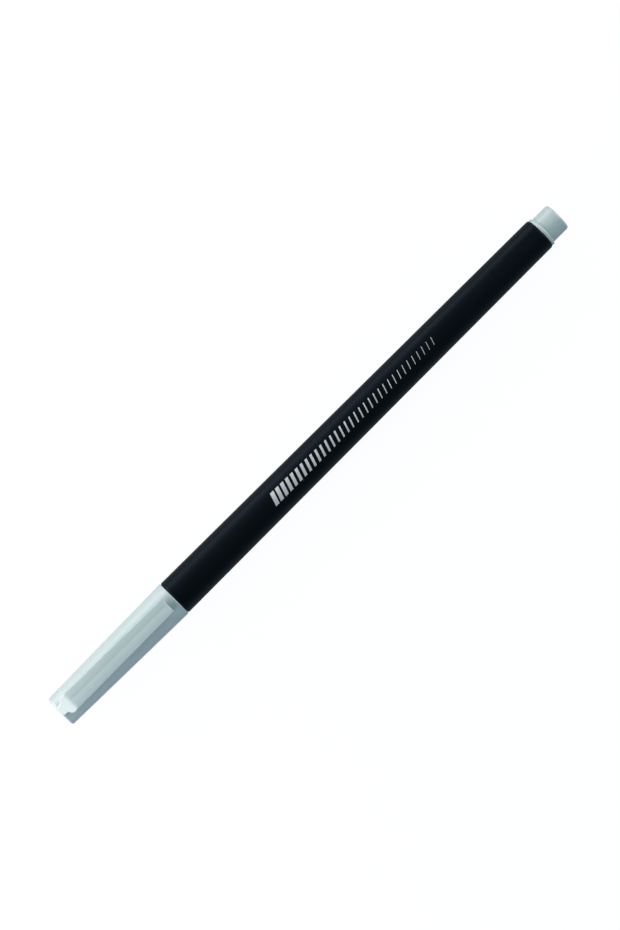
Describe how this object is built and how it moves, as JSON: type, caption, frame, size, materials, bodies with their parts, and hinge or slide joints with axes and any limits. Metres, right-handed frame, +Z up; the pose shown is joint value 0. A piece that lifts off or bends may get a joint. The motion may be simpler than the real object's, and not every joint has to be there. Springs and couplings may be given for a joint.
{
  "type": "capped fineliner pen",
  "caption": "Capped fineliner pen: tapered soft-touch barrel, pull-off cap with a moulded spring clip and sealing liner, sleeved capillary nib, fibre ink store and posting end plug.",
  "frame": {"origin": "under the middle of the closed pen's length, on the plane it lies on", "axes": "+X along the pen from the cap's closed end to the tail, +Z up through the clip, +Y across"},
  "size_m": [0.165, 0.0096, 0.0113],
  "materials": {
    "pale_plastic": "satin moulded polypropylene, pale blue grey",
    "natural_plastic": "undyed polyethylene",
    "soft_touch_black": "black soft-touch lacquer, matt",
    "section_black": "black moulded plastic, low gloss",
    "ferrule_steel": "drawn stainless tube",
    "nib_fibre": "ink-stained capillary plastic",
    "ink_fibre": "polyester fibre soaked with black ink",
    "clear_film": "thin clear film",
    "silver_foil": "hot-stamped silver foil on the barrel, plain slanted strokes"
  },
  "bodies": {
    "pen": {"barrel": "soft_touch_black", "grip_section": "section_black", "nib_ferrule": "ferrule_steel", "nib": "nib_fibre", "feed_wick": "ink_fibre", "ink_reservoir": "ink_fibre", "reservoir_film": "clear_film", "end_plug": "pale_plastic"},
    "cap": {"cap_shell": "pale_plastic", "inner_cap": "natural_plastic"},
    "clip": {"pocket_clip": "pale_plastic"}
  },
  "joints": [
    {"name": "cap_pull", "type": "slide", "parent": "pen", "child": "cap", "axis": [-1, 0, 0], "range_m": [0, 0.05]},
    {"name": "clip_flex", "type": "hinge", "parent": "cap", "child": "clip", "pos_m": [-0.0778, 0, 0.0113], "axis": [0, -1, 0], "range_deg": [0, 4], "stiffness_Nm_per_rad": 1}
  ]
}
